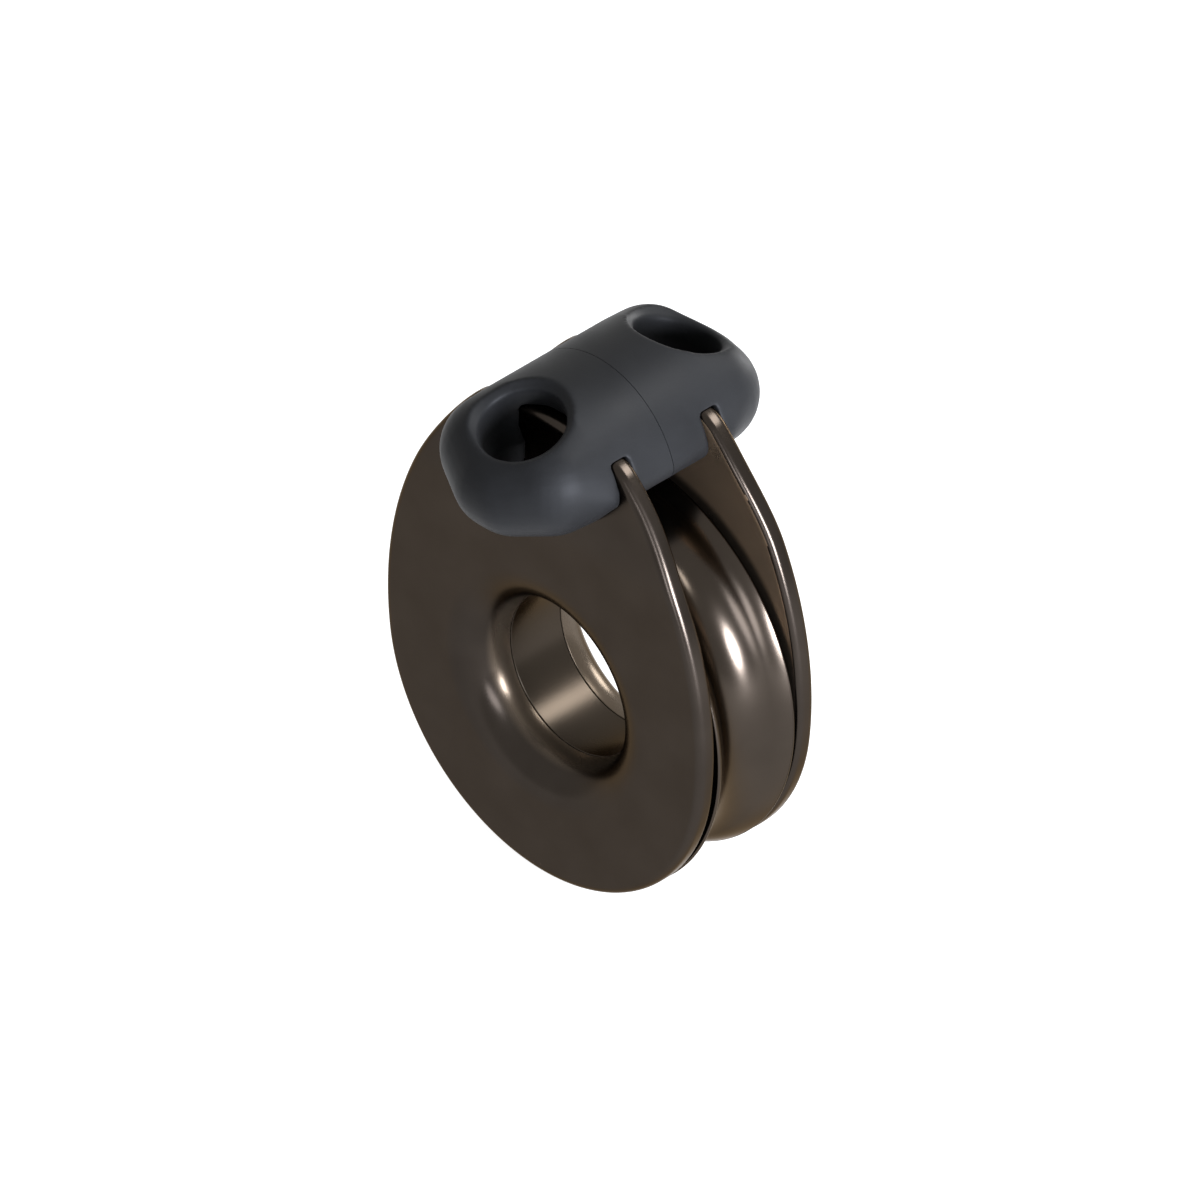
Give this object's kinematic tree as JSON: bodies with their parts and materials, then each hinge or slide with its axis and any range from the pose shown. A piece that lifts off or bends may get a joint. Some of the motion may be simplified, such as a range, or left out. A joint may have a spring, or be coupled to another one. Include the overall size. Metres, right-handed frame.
{
  "type": "ball bearing block",
  "caption": "Yacht block with a wide open hub, a ball bearing grooved sheave between two flared cheeks and a split head with two lashing eyes.",
  "frame": {"origin": "middle of the open hub bore, on the bearing axis", "axes": "+Y along the bearing axis towards the far cheek, +Z from the hub to the head, +X to the side where the sheave shows in the picture"},
  "size_m": [0.2012, 0.1626, 0.2656],
  "materials": {
    "bronze_anodising": "fine bead-blasted, hard anodised, warm grey bronze",
    "sheave_anodising": "turned, hard anodised, smoother than the cheeks",
    "hub_anodising": "smooth bored, hard anodised",
    "charcoal_moulding": "fine grained matt moulding",
    "race_metal": "turned",
    "ball_plastic": "polished",
    "cage_plastic": "moulded",
    "seal_rubber": "matt",
    "washer_plastic": "turned",
    "stainless": "drawn and ground",
    "insert_brass": "turned"
  },
  "bodies": {
    "far_side": {"cheek_far": "bronze_anodising", "head_far": "charcoal_moulding", "hub_tube": "hub_anodising", "inner_race_near": "race_metal", "inner_race_far": "race_metal", "race_spacer": "race_metal", "end_spacer_near": "race_metal", "end_spacer_far": "race_metal", "friction_washer": "washer_plastic", "lock_ring_near": "stainless", "lock_ring_far": "stainless", "hub_dowels": "stainless", "swing_stop_pin": "stainless", "head_screws_far": "stainless", "head_inserts_far": "insert_brass"},
    "near_side": {"cheek_near": "bronze_anodising", "head_near": "charcoal_moulding", "head_screws_near": "stainless", "head_inserts_near": "insert_brass"},
    "sheave_body": {"sheave": "sheave_anodising", "seal_near": "seal_rubber", "seal_far": "seal_rubber"},
    "near_balls": {"balls_near": "ball_plastic", "cage_near": "cage_plastic"},
    "far_balls": {"balls_far": "ball_plastic", "cage_far": "cage_plastic"}
  },
  "joints": [
    {"name": "sheave_spin", "type": "hinge", "parent": "far_side", "child": "sheave_body", "pos_m": [0, 0, 0], "axis": [0, 1, 0], "continuous": true},
    {"name": "near_balls_orbit", "type": "hinge", "parent": "far_side", "child": "near_balls", "pos_m": [0, 0, 0], "axis": [0, 1, 0], "continuous": true},
    {"name": "far_balls_orbit", "type": "hinge", "parent": "far_side", "child": "far_balls", "pos_m": [0, 0, 0], "axis": [0, 1, 0], "continuous": true},
    {"name": "cheek_swing", "type": "hinge", "parent": "far_side", "child": "near_side", "pos_m": [0, 0, 0], "axis": [0, 1, 0], "range_deg": [-90, 90]}
  ],
  "couplings": [
    {"joint": "near_balls_orbit", "follows": "sheave_spin", "ratio": 0.54773},
    {"joint": "far_balls_orbit", "follows": "sheave_spin", "ratio": 0.54773}
  ]
}
